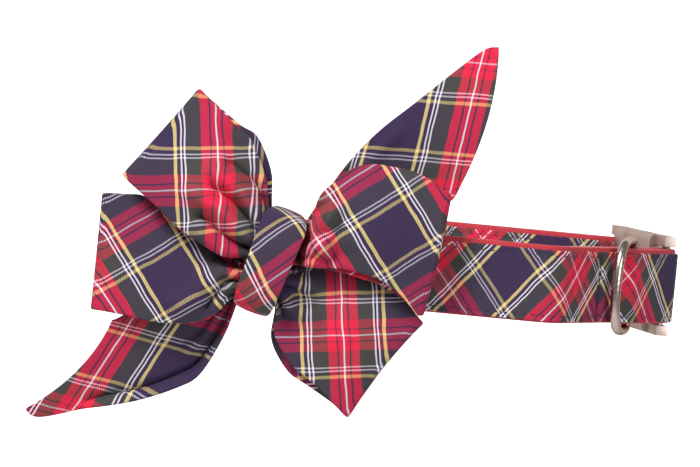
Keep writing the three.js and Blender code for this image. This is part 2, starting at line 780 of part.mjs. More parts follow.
function slideGeometry() {
  const outerFace = backY + facingOffset + facing.thickness / 2 + clearance;
  const barY = backY - layerPitch - slideTurnRadius;
  const railHalf = webbing.width / 2 + clearance;
  const half = slide.frameHeight / 2;
  const low = barY - slide.barRadius;
  const high = outerFace + slide.frameBar;
  const left = slide.x - slide.length / 2;
  const right = slide.x + slide.length / 2;
  let solid = barSolid(slide.x, barY, slide.barRadius, slide.frameHeight - joinOverlap);
  for (const side of [1, -1]) {
    const zs = [side * railHalf, side * half].sort((a, b) => a - b);
    const rail = new THREE.Shape([
      new THREE.Vector2(left, outerFace),
      new THREE.Vector2(slide.x - 2 * slide.barRadius, low),
      new THREE.Vector2(slide.x + 2 * slide.barRadius, low),
      new THREE.Vector2(right, outerFace),
      new THREE.Vector2(right, high),
      new THREE.Vector2(left, high),
    ]);
    const plate = new THREE.ExtrudeGeometry(rail, { depth: zs[1] - zs[0], bevelEnabled: false });
    solid = solid.add(toSolid(plate.translate(0, 0, zs[0])));
  }
  for (const start of [left, right - slide.frameBar]) {
    solid = solid.add(boxSolid([start, outerFace, -half + joinOverlap],
      [start + slide.frameBar, high, half - joinOverlap]));
  }
  return toGeometry(solid);
}

addPiece('slide', slideGeometry(), nickelMaterial());

export default collar;
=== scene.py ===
"""Pet bow tie collar: red webbing faced with tartan, a pinwheel tartan bow, nickel hardware."""

import math

import bmesh
import bpy
from mathutils import Matrix, Vector


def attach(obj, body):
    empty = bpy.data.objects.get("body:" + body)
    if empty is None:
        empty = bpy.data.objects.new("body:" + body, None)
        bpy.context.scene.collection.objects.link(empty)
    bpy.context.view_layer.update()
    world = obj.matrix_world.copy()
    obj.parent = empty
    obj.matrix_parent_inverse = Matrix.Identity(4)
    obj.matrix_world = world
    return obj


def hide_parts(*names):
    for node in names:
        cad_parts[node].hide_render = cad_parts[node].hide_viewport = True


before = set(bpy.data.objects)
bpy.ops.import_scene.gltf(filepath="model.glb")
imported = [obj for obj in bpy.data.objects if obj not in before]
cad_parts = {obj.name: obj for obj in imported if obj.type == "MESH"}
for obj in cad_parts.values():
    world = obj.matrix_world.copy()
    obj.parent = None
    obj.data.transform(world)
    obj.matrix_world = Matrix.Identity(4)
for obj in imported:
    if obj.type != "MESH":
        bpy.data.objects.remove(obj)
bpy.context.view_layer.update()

MM = 0.001

# Camera: level with the bow, three degrees above it, the picture turned a little.
CAMERA_AIM = Vector((-19.07, -51.45, 10.47)) * MM
CAMERA_DISTANCE = 1.0
CAMERA_RISE = math.radians(3)
CAMERA_ROLL = math.radians(5.4)
CAMERA_LENS = 157.9
CAMERA_SENSOR = 36

# Studio, in metres: the floor lies low enough that the camera sees only the backdrop.
STUDIO = {"size": 4, "drop": 0.6, "behind": 2.5, "surround": 0.22}

# Lamps: place and size in metres, power in watts.
LAMPS = {
    "key_softbox": ((-0.55, -0.8, 0.85), 0.4, 17),
    "fill_softbox": ((0.8, -0.9, 0.25), 0.5, 6),
}

# Strap, in millimetres
WEBBING = {"width": 25.4, "thickness": 1.5}
FACING = {"width": 23.6, "thickness": 0.8, "drop": 0.5}
CLEARANCE = 0.3
FRONT_START = (-53, -50.15)
FRONT_STRAIGHT = 97
COLLAR_DEPTH = 104.6
LEFT_CORNER = (40, math.radians(60))
FRONT_BEND = (10, math.radians(53))
DOUBLED_END = 61
RETURN_LENGTH = 56
BUCKLE_BAR_RADIUS = 1.5
BUCKLE_BAR_TO_BAR = 51.3
RING_BAR_FROM_END = 21
RING_CHANNEL_HALF = 3
STEP_RADIUS = 7
SLIDE = {"bar_radius": 1.1, "x": 7, "length": 15, "end_turn": 8}
STITCH = {"pitch": 3.0, "length": 2.1, "radius": 0.23, "from_middle": 9.9, "sunk": 0.22,
          "scallop": 0.22}
STITCH_FACETS = {"u_segments": 6, "v_segments": 5}
STITCH_PULL = {"depth": 0.3, "breadth": 0.6, "steady": 0.6, "varying": 0.4}

# The seam across the doubled end, at its distance from the front's left end towards the buckle.
CROSS_SEAM = 126.0
CROSS_STITCH = {"each_side": 4, "pitch": 2.4, "length": 1.8, "sunk": 0.5}
CROSS_PULL = {"depth": 0.8, "breadth": 1.3}

# The free strap hangs lower behind the bow than its level route.
BACK_SAG = {"middle": 168, "half_length": 52, "drop": 4.2}

# Spans of each sheet's grid, along and across.
WEBBING_GRID = (860, 8)
FACING_GRID = (860, 40)
LOOP_GRID = (100, 36)
TAIL_GRID = (60, 36)
BAND_GRID = (96, 20)

# Rounded edges: width in millimetres, and the angle from which an edge counts as sharp.
WEBBING_RIM = 0.45
FACING_RIM = 0.2
RIM_ANGLE = math.radians(60)
CASTING_EDGE_ANGLE = math.radians(40)
FLAT_ANGLE = math.radians(2)
WELD_DISTANCE = 0.01

# Bow, in millimetres
BOW_X = -44
BOW_Z = -0.5
BOW_DEPTH = 20
BOW_CLOTH = 1.6
STRIP_WIDTH = 38
FOLD_ALLOWANCE = 2.4
PLEAT_COUNT = 3
PLEAT_FADE = (0.06, 0.55)
GATHER_FADE = (0.0, 0.22)
FRONT_PLEAT = 1.7
BACK_PLEAT = 1.0

BAND = {"lean": 16, "half_height": 16.3, "front": 23, "thickness": 1.4, "width": 13.8,
        "back_gap": 0.5, "wall": 1.0, "round_radius": 14.5, "tangent_step": 0.002, "bulge": 0.5}

# Row columns, from the knot to the fold: along and side of edge A, of the middle and of edge B,
# then the front layer's depth at A, middle and B, and the back layer's depth there. "along" is
# a share of reach, "side" of STRIP_WIDTH and the depths of BOW_DEPTH. "cut" says where on the
# tartan the strip was cut: the warp's place at the middle of the fold and its slant to the
# strip in degrees, then the weft's.
LOOPS = {
    "loop_upper_left": {
        "angle": 135, "reach": 54.5, "peek": (-0.07, 0.02), "cut": (18.0, 53, 18.8, -39),
        "rows": [
            (0.09, -0.20, 0.06, -0.11, 0.03, -0.02, 0.70, 0.78, 0.70, 0.40, 0.38, 0.38),
            (0.18, -0.22, 0.15, -0.07, 0.11, 0.09, 0.60, 0.85, 0.72, 0.38, 0.40, 0.45),
            (0.30, -0.33, 0.25, -0.05, 0.20, 0.24, 0.55, 0.93, 0.78, 0.35, 0.45, 0.55),
            (0.40, -0.42, 0.36, -0.06, 0.31, 0.31, 0.55, 1.00, 0.82, 0.35, 0.50, 0.62),
            (0.53, -0.49, 0.48, -0.08, 0.43, 0.36, 0.57, 1.02, 0.85, 0.38, 0.53, 0.65),
            (0.66, -0.54, 0.60, -0.08, 0.53, 0.40, 0.60, 1.00, 0.85, 0.40, 0.55, 0.68),
            (0.76, -0.52, 0.72, -0.06, 0.67, 0.42, 0.65, 0.95, 0.85, 0.45, 0.57, 0.68),
            (0.91, -0.51, 0.86, -0.03, 0.81, 0.45, 0.70, 0.85, 0.82, 0.50, 0.60, 0.65),
            (1.06, -0.49, 1.00, -0.01, 0.95, 0.48, 0.70, 0.75, 0.80, 0.53, 0.57, 0.62),
        ],
    },
    "loop_lower_left": {
        "angle": -178, "reach": 56, "peek": (0, 0.02), "cut": (38.2, 35, 41.6, -56),
        "rows": [
            (0.02, 0.07, 0.03, 0.17, 0.05, 0.29, 0.60, 0.68, 0.60, 0.38, 0.38, 0.38),
            (0.13, 0.05, 0.13, 0.17, 0.14, 0.30, 0.50, 0.72, 0.60, 0.35, 0.38, 0.35),
            (0.26, -0.02, 0.24, 0.15, 0.23, 0.34, 0.38, 0.72, 0.60, 0.23, 0.33, 0.33),
            (0.38, -0.14, 0.32, 0.13, 0.28, 0.42, 0.38, 0.68, 0.57, 0.20, 0.30, 0.33),
            (0.50, -0.25, 0.43, 0.13, 0.36, 0.51, 0.40, 0.62, 0.55, 0.20, 0.28, 0.30),
            (0.63, -0.37, 0.56, 0.09, 0.49, 0.56, 0.42, 0.62, 0.55, 0.20, 0.28, 0.30),
            (0.78, -0.49, 0.73, 0.04, 0.67, 0.57, 0.45, 0.60, 0.55, 0.23, 0.28, 0.30),
            (0.88, -0.50, 0.86, 0.01, 0.84, 0.53, 0.45, 0.55, 0.53, 0.25, 0.28, 0.30),
            (0.99, -0.50, 1.00, 0.00, 1.02, 0.50, 0.42, 0.47, 0.47, 0.25, 0.28, 0.30),
        ],
    },
    "loop_upper_right": {
        "angle": 8, "reach": 54, "peek": (0, -0.06), "cut": (29.6, 29, 34.8, -61),
        "rows": [
            (0.12, 0.25, 0.08, 0.13, 0.03, 0.01, 0.70, 0.78, 0.70, 0.40, 0.38, 0.38),
            (0.22, 0.26, 0.19, 0.12, 0.16, -0.02, 0.60, 0.85, 0.72, 0.38, 0.40, 0.45),
            (0.35, 0.56, 0.35, 0.25, 0.35, -0.06, 0.65, 0.95, 0.80, 0.38, 0.52, 0.60),
            (0.44, 0.66, 0.46, 0.30, 0.47, -0.08, 0.70, 1.05, 0.88, 0.40, 0.57, 0.66),
            (0.55, 0.76, 0.56, 0.33, 0.57, -0.12, 0.70, 1.07, 0.90, 0.42, 0.60, 0.68),
            (0.67, 0.79, 0.67, 0.32, 0.67, -0.17, 0.70, 1.05, 0.90, 0.45, 0.61, 0.68),
            (0.79, 0.76, 0.76, 0.27, 0.73, -0.23, 0.70, 1.00, 0.85, 0.47, 0.60, 0.65),
            (0.91, 0.72, 0.86, 0.20, 0.81, -0.33, 0.68, 0.90, 0.82, 0.47, 0.59, 0.66),
            (1.02, 0.64, 0.96, 0.08, 0.87, -0.44, 0.68, 0.80, 0.76, 0.50, 0.57, 0.61),
            (1.11, 0.53, 1.02, 0.03, 0.90, -0.51, 0.68, 0.74, 0.72, 0.50, 0.56, 0.56),
        ],
    },
    "loop_lower_right": {
        "angle": -38, "reach": 51.5, "peek": (0, -0.075), "cut": (13.2, 46, 12.2, -45),
        "rows": [
            (0.05, -0.03, 0.10, -0.14, 0.15, -0.25, 0.60, 0.68, 0.60, 0.38, 0.38, 0.38),
            (0.17, 0.12, 0.20, -0.05, 0.24, -0.25, 0.42, 0.68, 0.60, 0.31, 0.38, 0.35),
            (0.25, 0.32, 0.29, -0.04, 0.33, -0.40, 0.34, 0.62, 0.60, 0.20, 0.30, 0.33),
            (0.35, 0.42, 0.39, -0.02, 0.42, -0.46, 0.35, 0.60, 0.60, 0.18, 0.27, 0.30),
            (0.47, 0.50, 0.53, 0.00, 0.59, -0.51, 0.37, 0.60, 0.60, 0.18, 0.27, 0.30),
            (0.58, 0.53, 0.64, 0.02, 0.72, -0.50, 0.42, 0.65, 0.60, 0.20, 0.28, 0.30),
            (0.68, 0.56, 0.77, 0.03, 0.85, -0.50, 0.45, 0.60, 0.57, 0.23, 0.28, 0.30),
            (0.82, 0.56, 0.89, 0.03, 0.96, -0.51, 0.45, 0.55, 0.53, 0.25, 0.28, 0.30),
            (0.97, 0.52, 0.98, 0.01, 1.04, -0.52, 0.45, 0.47, 0.47, 0.28, 0.30, 0.30),
        ],
    },
}

# Folds of the loops' front layers and of the tails: a run of (share, across) points, then breadth
# and height in millimetres, towards the viewer when positive.
FOLDS = {
    "loop_upper_left": [
        ([(0.66, 0.42), (0.51, 0.35), (0.36, 0.26), (0.08, 0.22)], 3.2, 3.0),
        ([(0.62, 0.30), (0.50, 0.24), (0.36, 0.13), (0.20, 0.10)], 2.2, -3.8),
        ([(0.58, 0.54), (0.42, 0.46), (0.25, 0.40), (0.08, 0.42)], 2.2, -3.4),
        ([(0.69, 0.70), (0.53, 0.63), (0.31, 0.56), (0.08, 0.58)], 2.8, 2.8),
        ([(0.55, 0.80), (0.40, 0.78), (0.23, 0.74), (0.08, 0.74)], 1.9, -3.6),
        ([(0.50, 0.92), (0.32, 0.92), (0.08, 0.90)], 3.0, 1.8),
        ([(0.32, 0.02), (0.55, 0.02), (0.80, 0.04)], 3.0, 2.2),
    ],
    "loop_lower_left": [
        ([(0.62, 0.84), (0.54, 0.74), (0.40, 0.54), (0.22, 0.34), (0.08, 0.26)], 3.4, 3.0),
        ([(0.46, 0.38), (0.30, 0.22), (0.10, 0.08)], 3.0, -2.0),
        ([(0.48, 0.86), (0.34, 0.70), (0.20, 0.54), (0.08, 0.48)], 2.2, -2.0),
        ([(0.41, 0.92), (0.28, 0.80), (0.16, 0.68), (0.05, 0.66)], 2.6, 1.6),
    ],
    "loop_upper_right": [
        ([(0.24, 0.03), (0.27, 0.20), (0.26, 0.35), (0.21, 0.50), (0.19, 0.70), (0.15, 0.93)],
         2.6, 4.6),
        ([(0.13, 0.06), (0.12, 0.45), (0.08, 0.90)], 3.0, -9.0),
        ([(0.36, 0.40), (0.32, 0.62), (0.26, 0.85)], 2.6, -1.2),
    ],
    "loop_lower_right": [
        ([(0.12, 0.84), (0.24, 0.78), (0.38, 0.70)], 2.0, -1.6),
        ([(0.12, 0.66), (0.28, 0.62), (0.42, 0.56)], 2.4, 1.4),
        ([(0.12, 0.45), (0.26, 0.46), (0.36, 0.44)], 2.0, -1.4),
    ],
    "tail_lower": [
        ([(0.10, 0.60), (0.30, 0.58), (0.44, 0.62)], 2.6, 1.6),
        ([(0.10, 0.98), (0.30, 0.97), (0.50, 0.98), (0.70, 1.00)], 3.4, 3.4),
        ([(0.10, 0.84), (0.30, 0.84), (0.52, 0.86), (0.74, 0.90)], 1.5, -3.0),
    ],
    "tail_upper": [
        ([(0.15, 0.30), (0.35, 0.24), (0.55, 0.14)], 3.0, 1.2),
    ],
}

# Tails have one layer, so their rows hold one set of depths.
TAILS = {
    "tail_upper": {
        "angle": 39, "reach": 80, "cut": (3.2, -47, 23.4, 52),
        "rows": [
            (0.13, 0.13, 0.07, 0.06, 0.02, -0.01, 0.11, 0.11, 0.11),
            (0.19, 0.10, 0.15, -0.01, 0.11, -0.12, 0.11, 0.11, 0.11),
            (0.35, 0.23, 0.30, -0.01, 0.25, -0.26, 0.15, 0.12, 0.10),
            (0.50, 0.34, 0.44, -0.01, 0.38, -0.35, 0.20, 0.15, 0.10),
            (0.66, 0.41, 0.59, 0.00, 0.51, -0.41, 0.25, 0.20, 0.10),
            (0.84, 0.44, 0.73, 0.01, 0.62, -0.43, 0.30, 0.25, 0.12),
            (1.01, 0.47, 0.88, 0.02, 0.70, -0.44, 0.30, 0.30, 0.15),
            (1.19, 0.49, 1.01, 0.01, 0.74, -0.43, 0.25, 0.30, 0.15),
            (1.25, 0.44, 1.04, -0.04, 0.76, -0.42, 0.25, 0.30, 0.15),
        ],
    },
    "tail_lower": {
        "angle": -147, "reach": 74.5, "cut": (9.0, -61, 28.4, 47),
        "rows": [
            (0.04, 0.05, 0.08, 0.13, 0.12, 0.21, 0.11, 0.11, 0.11),
            (0.16, 0.02, 0.17, 0.08, 0.18, 0.12, 0.11, 0.11, 0.11),
            (0.25, -0.02, 0.28, 0.16, 0.31, 0.35, 0.11, 0.12, 0.10),
            (0.33, -0.05, 0.41, 0.26, 0.50, 0.58, 0.14, 0.08, 0.00),
            (0.44, -0.10, 0.53, 0.25, 0.62, 0.60, 0.16, 0.06, -0.08),
            (0.55, -0.14, 0.68, 0.20, 0.81, 0.54, 0.17, 0.05, -0.14),
            (0.63, -0.17, 0.81, 0.11, 1.03, 0.40, 0.18, 0.05, -0.18),
            (0.71, -0.17, 0.93, 0.09, 1.23, 0.28, 0.18, 0.05, -0.20),
            (0.73, -0.18, 0.97, 0.07, 1.27, 0.16, 0.18, 0.05, -0.20),
        ],
    },
}

# Knot band: height as a share of its half height, place from the neck side (0) to the front (1),
# width as a share of its width.
BAND_ROWS = [
    (0.00, 1.00, 1.02), (0.45, 0.97, 1.08), (0.82, 0.84, 1.08), (0.98, 0.58, 0.95),
    (1.00, 0.30, 0.80), (0.99, 0.05, 0.75), (0.86, 0.00, 0.74), (0.00, 0.00, 0.80),
    (-0.86, 0.00, 0.78), (-0.99, 0.05, 0.78), (-1.00, 0.30, 0.80), (-0.98, 0.58, 0.84),
    (-0.82, 0.84, 0.94), (-0.45, 0.97, 1.00),
]
BAND_CUT = (16.4, -38, 4.4, 54)
FACING_CUT = (6.2, 39, 13.4, -38)
FACING_SHRINK = 1.1

# Tartan sett in millimetres from its red pivot to its navy one, with the warp's and weft's colour.
SETT_HALF = 21.5
TWILL_PITCH = 0.6
TWILL_EDGE = 0.6
WEFT_SHOWS = (0.12, 0.58)
YARN_TONE = (0.78, 1.18)
STRIPE_WANDER = 0.9
WEBBING_RIBS = (("X", 1.1), ("Y", 1.6))
SETT = [
    (0.00, "white"), (0.24, "red"), (1.75, "navy"), (2.25, "red"), (4.88, "grey"),
    (9.86, "white"), (10.36, "navy"), (11.02, "white"), (11.52, "navy"), (12.75, "yellow"),
    (13.85, "navy"),
]
YARN_COLOURS = {"white": "#f1ebf4", "red": "#da2744", "navy": "#3a2c4a", "grey": "#434240",
                "yellow": "#e6cf86"}


def linear(hex_colour):
    """sRGB hex to linear colour values."""
    channels = [int(hex_colour[i:i + 2], 16) / 255 for i in (1, 3, 5)]
    turned = [c / 12.92 if c <= 0.04045 else ((c + 0.055) / 1.055) ** 2.4 for c in channels]
    return (*turned, 1.0)


def node(tree, kind, links=None, **settings):
    """Adds a node; settings name its properties, or its input sockets when they are not."""
    added = tree.nodes.new(kind)
    for key, value in settings.items():
        if hasattr(added, key):
            setattr(added, key, value)
        else:
            added.inputs[key.replace("_", " ")].default_value = value
    for socket, source in (links or {}).items():
        tree.links.new(source, added.inputs[socket])
    return added


def calculate(tree, operation, first, second):
    """A socket's value worked on with another socket or a number."""
    added = node(tree, "ShaderNodeMath", {0: first}, operation=operation)
    if isinstance(second, bpy.types.NodeSocket):
        tree.links.new(second, added.inputs[1])
    else:
        added.inputs[1].default_value = second
    return added.outputs[0]


def waves(tree, place, pitch):
    """A sine along a place in millimetres, with its pitch."""
    turns = calculate(tree, "MULTIPLY", place, 2 * math.pi / pitch)
    return node(tree, "ShaderNodeMath", {0: turns}, operation="SINE").outputs[0]


def new_material(name):
    """A material with an empty tree, its surface shader and output."""
    material = bpy.data.materials.new(name)
    material.use_nodes = True
    tree = material.node_tree
    tree.nodes.clear()
    shader = node(tree, "ShaderNodeBsdfPrincipled")
    node(tree, "ShaderNodeOutputMaterial", {"Surface": shader.outputs[0]})
    return material, tree, shader


def stripes(tree, place):
    """The sett's colours at a place across the cloth, in millimetres."""
    mirrored = calculate(tree, "PINGPONG", place, SETT_HALF)
    share = calculate(tree, "DIVIDE", mirrored, SETT_HALF)
    ramp = node(tree, "ShaderNodeValToRGB", {"Fac": share})
    ramp.color_ramp.interpolation = "CONSTANT"
    for start, name in SETT[2:]:
        ramp.color_ramp.elements.new(start / SETT_HALF)
    for element, (start, name) in zip(ramp.color_ramp.elements, SETT):
        element.position = start / SETT_HALF
        element.color = linear(YARN_COLOURS[name])
    return ramp.outputs["Color"]


def tartan_cotton():
    """Yarn-dyed cotton in a 2/2 twill: matt, with each thread crossing showing as fine hatching."""
    material, tree, shader = new_material("tartan_cotton_twill")
    cut = node(tree, "ShaderNodeUVMap", uv_map="cut_mm")
    wander = node(tree, "ShaderNodeTexNoise", {"Vector": cut.outputs[0]}, Scale=0.12, Detail=1.0)
    shift = node(tree, "ShaderNodeVectorMath", {0: wander.outputs["Color"]}, operation="SUBTRACT")
    shift.inputs[1].default_value = (0.5, 0.5, 0.5)
    scaled = node(tree, "ShaderNodeVectorMath", {0: shift.outputs[0]}, operation="SCALE",
                  Scale=STRIPE_WANDER)
    place = node(tree, "ShaderNodeVectorMath", {0: cut.outputs[0], 1: scaled.outputs[0]},
                 operation="ADD")
    axes = node(tree, "ShaderNodeSeparateXYZ", {0: place.outputs[0]})
    warp = stripes(tree, axes.outputs["X"])
    weft = stripes(tree, axes.outputs["Y"])
    # Twill lines, a little coarser than the real thread so that they show.
    diagonal = calculate(tree, "ADD", axes.outputs["X"], axes.outputs["Y"])
    wave = waves(tree, diagonal, TWILL_PITCH)
    over = node(tree, "ShaderNodeMapRange", {"Value": wave}, interpolation_type="SMOOTHSTEP")
    over.inputs["From Min"].default_value = -TWILL_EDGE
    over.inputs["From Max"].default_value = TWILL_EDGE
    over.inputs["To Min"].default_value = WEFT_SHOWS[0]
    over.inputs["To Max"].default_value = WEFT_SHOWS[1]
    cloth = node(tree, "ShaderNodeMix", {"Factor": over.outputs[0]}, data_type="RGBA")
    tree.links.new(warp, cloth.inputs[6])
    tree.links.new(weft, cloth.inputs[7])
    yarn = node(tree, "ShaderNodeTexNoise", {"Vector": cut.outputs[0]}, Scale=1.6, Detail=3.0)
    tone = node(tree, "ShaderNodeMapRange", {"Value": yarn.outputs[0]})
    tone.inputs["To Min"].default_value = YARN_TONE[0]
    tone.inputs["To Max"].default_value = YARN_TONE[1]
    toned = node(tree, "ShaderNodeVectorMath", {0: cloth.outputs[2]}, operation="SCALE")
    tree.links.new(tone.outputs[0], toned.inputs["Scale"])
    bump = node(tree, "ShaderNodeBump", {"Height": wave}, Strength=0.25, Distance=0.0001)
    tree.links.new(toned.outputs[0], shader.inputs["Base Color"])
    tree.links.new(bump.outputs[0], shader.inputs["Normal"])
    shader.inputs["Roughness"].default_value = 0.82
    shader.inputs["IOR"].default_value = 1.5
    shader.inputs["Specular IOR Level"].default_value = 0.15
    shader.inputs["Sheen Weight"].default_value = 0.03
    shader.inputs["Sheen Roughness"].default_value = 0.5
    return material


def red_webbing():
    """Dyed nylon webbing: a ribbed plain weave with the faint sheen of filament yarn, and painted
    shade in the grooves between its ribs.
    """
    material, tree, shader = new_material("red_nylon_webbing")
    cut = node(tree, "ShaderNodeUVMap", uv_map="cut_mm")
    axes = node(tree, "ShaderNodeSeparateXYZ", {0: cut.outputs[0]})
    long_ribs, cross_ribs = [waves(tree, axes.outputs[axis], pitch) for axis, pitch in WEBBING_RIBS]
    ribs = calculate(tree, "MULTIPLY", long_ribs, cross_ribs)
    tone = node(tree, "ShaderNodeMapRange", {"Value": ribs})
    tone.inputs["From Min"].default_value = -1
    tone.inputs["To Min"].default_value = 0.15
    # Painted shade: the colour follows the rib height that also drives the bump, dark red in the
    # grooves and bright red on the ribs.
    ramp = node(tree, "ShaderNodeValToRGB", {"Fac": tone.outputs[0]})
    ramp.color_ramp.elements[0].color = linear("#8e0f22")
    ramp.color_ramp.elements[1].color = linear("#d0182f")
    bump = node(tree, "ShaderNodeBump", {"Height": ribs}, Strength=0.5, Distance=0.0002)
    tree.links.new(ramp.outputs[0], shader.inputs["Base Color"])
    tree.links.new(bump.outputs[0], shader.inputs["Normal"])
    shader.inputs["Roughness"].default_value = 0.55
    shader.inputs["IOR"].default_value = 1.53
    shader.inputs["Sheen Weight"].default_value = 0.15
    return material


def navy_thread():
    """Twisted polyester sewing thread, dark navy with a slight shine."""
    material, tree, shader = new_material("navy_polyester_thread")
    place = node(tree, "ShaderNodeTexCoord")
    twist = node(tree, "ShaderNodeTexNoise", {"Vector": place.outputs["Object"]}, Scale=2500.0)
    ramp = node(tree, "ShaderNodeValToRGB", {"Fac": twist.outputs[0]})
    ramp.color_ramp.elements[0].color = linear("#191322")
    ramp.color_ramp.elements[1].color = linear("#352a45")
    tree.links.new(ramp.outputs[0], shader.inputs["Base Color"])
    shader.inputs["Roughness"].default_value = 0.5
    return material


def nickel_plate(name, smoothest, roughest):
    """Nickel plate: warm grey with fine rubbing marks, glossy on wire and softer on castings."""
    material, tree, shader = new_material(name)
    place = node(tree, "ShaderNodeTexCoord")
    cloud = node(tree, "ShaderNodeTexNoise", {"Vector": place.outputs["Object"]}, Scale=90.0,
                 Detail=4.0)
    rough = node(tree, "ShaderNodeMapRange", {"Value": cloud.outputs[0]})
    rough.inputs["To Min"].default_value = smoothest
    rough.inputs["To Max"].default_value = roughest
    rubbed = node(tree, "ShaderNodeTexNoise", {"Vector": place.outputs["Object"]}, Scale=1400.0,
                  Detail=2.0)
    ramp = node(tree, "ShaderNodeValToRGB", {"Fac": cloud.outputs[0]})
    ramp.color_ramp.elements[0].color = linear("#b3a29a")
    ramp.color_ramp.elements[1].color = linear("#c9b8b0")
    bump = node(tree, "ShaderNodeBump", {"Height": rubbed.outputs[0]}, Strength=0.08, Distance=0.0001)
    tree.links.new(ramp.outputs[0], shader.inputs["Base Color"])
    tree.links.new(rough.outputs[0], shader.inputs["Roughness"])
    tree.links.new(bump.outputs[0], shader.inputs["Normal"])
    shader.inputs["Metallic"].default_value = 1.0
    shader.inputs["Specular Tint"].default_value = linear("#b9a89f")
    return material


TARTAN = tartan_cotton()
RED = red_webbing()
THREAD = navy_thread()
WIRE_NICKEL = nickel_plate("polished_nickel_wire", 0.16, 0.34)
CAST_NICKEL = nickel_plate("satin_nickel_casting", 0.38, 0.52)


def smoothstep(low, high, value):
    share = min(max((value - low) / (high - low), 0), 1)
    return share * share * (3 - 2 * share)


def spline(rows, share, closed=False):
    """Catmull-Rom through rows of numbers, at a share of the way along them."""
    count = len(rows)
    spans = count if closed else count - 1
    place = share * spans
    index = min(int(place), spans - 1)
    t = place - index

    def row(k):
        if closed:
            return rows[k % count]
        if k < 0:
            return [2 * a - b for a, b in zip(rows[0], rows[1])]
        if k >= count:
            return [2 * a - b for a, b in zip(rows[-1], rows[-2])]
        return rows[k]

    four = zip(row(index - 1), row(index), row(index + 1), row(index + 2))
    return [0.5 * (2 * b + (c - a) * t + (2 * a - 5 * b + 4 * c - d) * t * t
                   + (3 * b - a - 3 * c + d) * t ** 3) for a, b, c, d in four]


def cut_place(along, aside, cut):
    """Where a point of a bias strip lies on the tartan: across the warp and across the weft."""
    warp, warp_angle, weft, weft_angle = cut
    turned = [math.radians(angle) for angle in (warp_angle, weft_angle)]
    return (warp + along * math.cos(turned[0]) + aside * math.sin(turned[0]),
            weft + along * math.cos(turned[1]) + aside * math.sin(turned[1]))


def sheet(name, material, spans, place, closed=False):
    """A grid of cloth: place gives each point and its spot on the flat cloth from two shares."""
    shape = bmesh.new()
    layer = shape.loops.layers.uv.new("cut_mm")
    bmesh.ops.create_grid(shape, x_segments=spans[0], y_segments=spans[1], size=0.5)
    flat = {}
    for vertex in shape.verts:
        shares = (vertex.co.x + 0.5, vertex.co.y + 0.5)
        point, spot = place(min(max(shares[0], 0), 1), min(max(shares[1], 0), 1))
        vertex.co = point * MM
        flat[vertex] = spot
    for face in shape.faces:
        for loop in face.loops:
            loop[layer].uv = flat[loop.vert]
    if closed:
        bmesh.ops.remove_doubles(shape, verts=shape.verts, dist=WELD_DISTANCE * MM)
    return finish_mesh(name, shape, material)


def finish_mesh(name, shape, material):
    mesh = bpy.data.meshes.new(name)
    shape.to_mesh(mesh)
    shape.free()
    for face in mesh.polygons:
        face.use_smooth = True
    mesh.materials.append(material)
    piece = bpy.data.objects.new(name, mesh)
    bpy.context.scene.collection.objects.link(piece)
    return piece


def thicken(piece, thickness, bevel=0.0, levels=0):
    """Gives a sheet its cloth thickness, then a rounded rim or a smoother surface."""
    wall = piece.modifiers.new("cloth_thickness", "SOLIDIFY")
    wall.thickness = thickness * MM
    wall.offset = 0
    if bevel:
        rim = piece.modifiers.new("rounded_edge", "BEVEL")
        rim.width = bevel * MM
        rim.segments = 2
        rim.limit_method = "ANGLE"
        rim.angle_limit = RIM_ANGLE
    if levels:
        smooth = piece.modifiers.new("smooth_cloth", "SUBSURF")
        smooth.levels = levels
        smooth.render_levels = levels


# Strap route in plan: each move is a length and a curvature, left turns positive.

def walk(start, moves):
    """The poses (distance, x, y, heading, curvature, length) at which each move starts."""
    x, y, heading = start
    walked = []
    distance = 0
    for length, curve in moves:
        walked.append((distance, x, y, heading, curve, length))
        x, y, heading = step_on(x, y, heading, curve, length)
        distance += length
    walked.append((distance, x, y, heading, 0, 0))
    return walked


def step_on(x, y, heading, curve, length):
    if curve == 0:
        return x + math.cos(heading) * length, y + math.sin(heading) * length, heading
    turned = heading + curve * length
    return (x + (math.sin(turned) - math.sin(heading)) / curve,
            y - (math.cos(turned) - math.cos(heading)) / curve, turned)


def pose_at(walked, distance):
    distance = min(max(distance, 0), walked[-1][0])
    for start, x, y, heading, curve, length in walked:
        if distance <= start + length:
            return step_on(x, y, heading, curve, distance - start)
    return walked[-1][1:4]


def turn(radius, angle):
    return (radius * abs(angle), math.copysign(1 / radius, angle))


def sidestep(shift):
    """Two equal arcs that move the strap aside, left positive."""
    angle = math.acos(1 - abs(shift) / (2 * STEP_RADIUS))
    return [turn(STEP_RADIUS, math.copysign(angle, shift)),
            turn(STEP_RADIUS, -math.copysign(angle, shift))]


def sidestep_run(shift):
    return 2 * STEP_RADIUS * math.sin(math.acos(1 - abs(shift) / (2 * STEP_RADIUS)))


def beside(pose, offset):
    x, y, heading = pose
    return x - math.sin(heading) * offset, y + math.cos(heading) * offset


FOLD_RADIUS = BUCKLE_BAR_RADIUS + CLEARANCE + WEBBING["thickness"] / 2
LAYER_PITCH = WEBBING["thickness"] + CLEARANCE
BULGE = 2 * FOLD_RADIUS - LAYER_PITCH
RAISED = RING_BAR_FROM_END + RING_CHANNEL_HALF

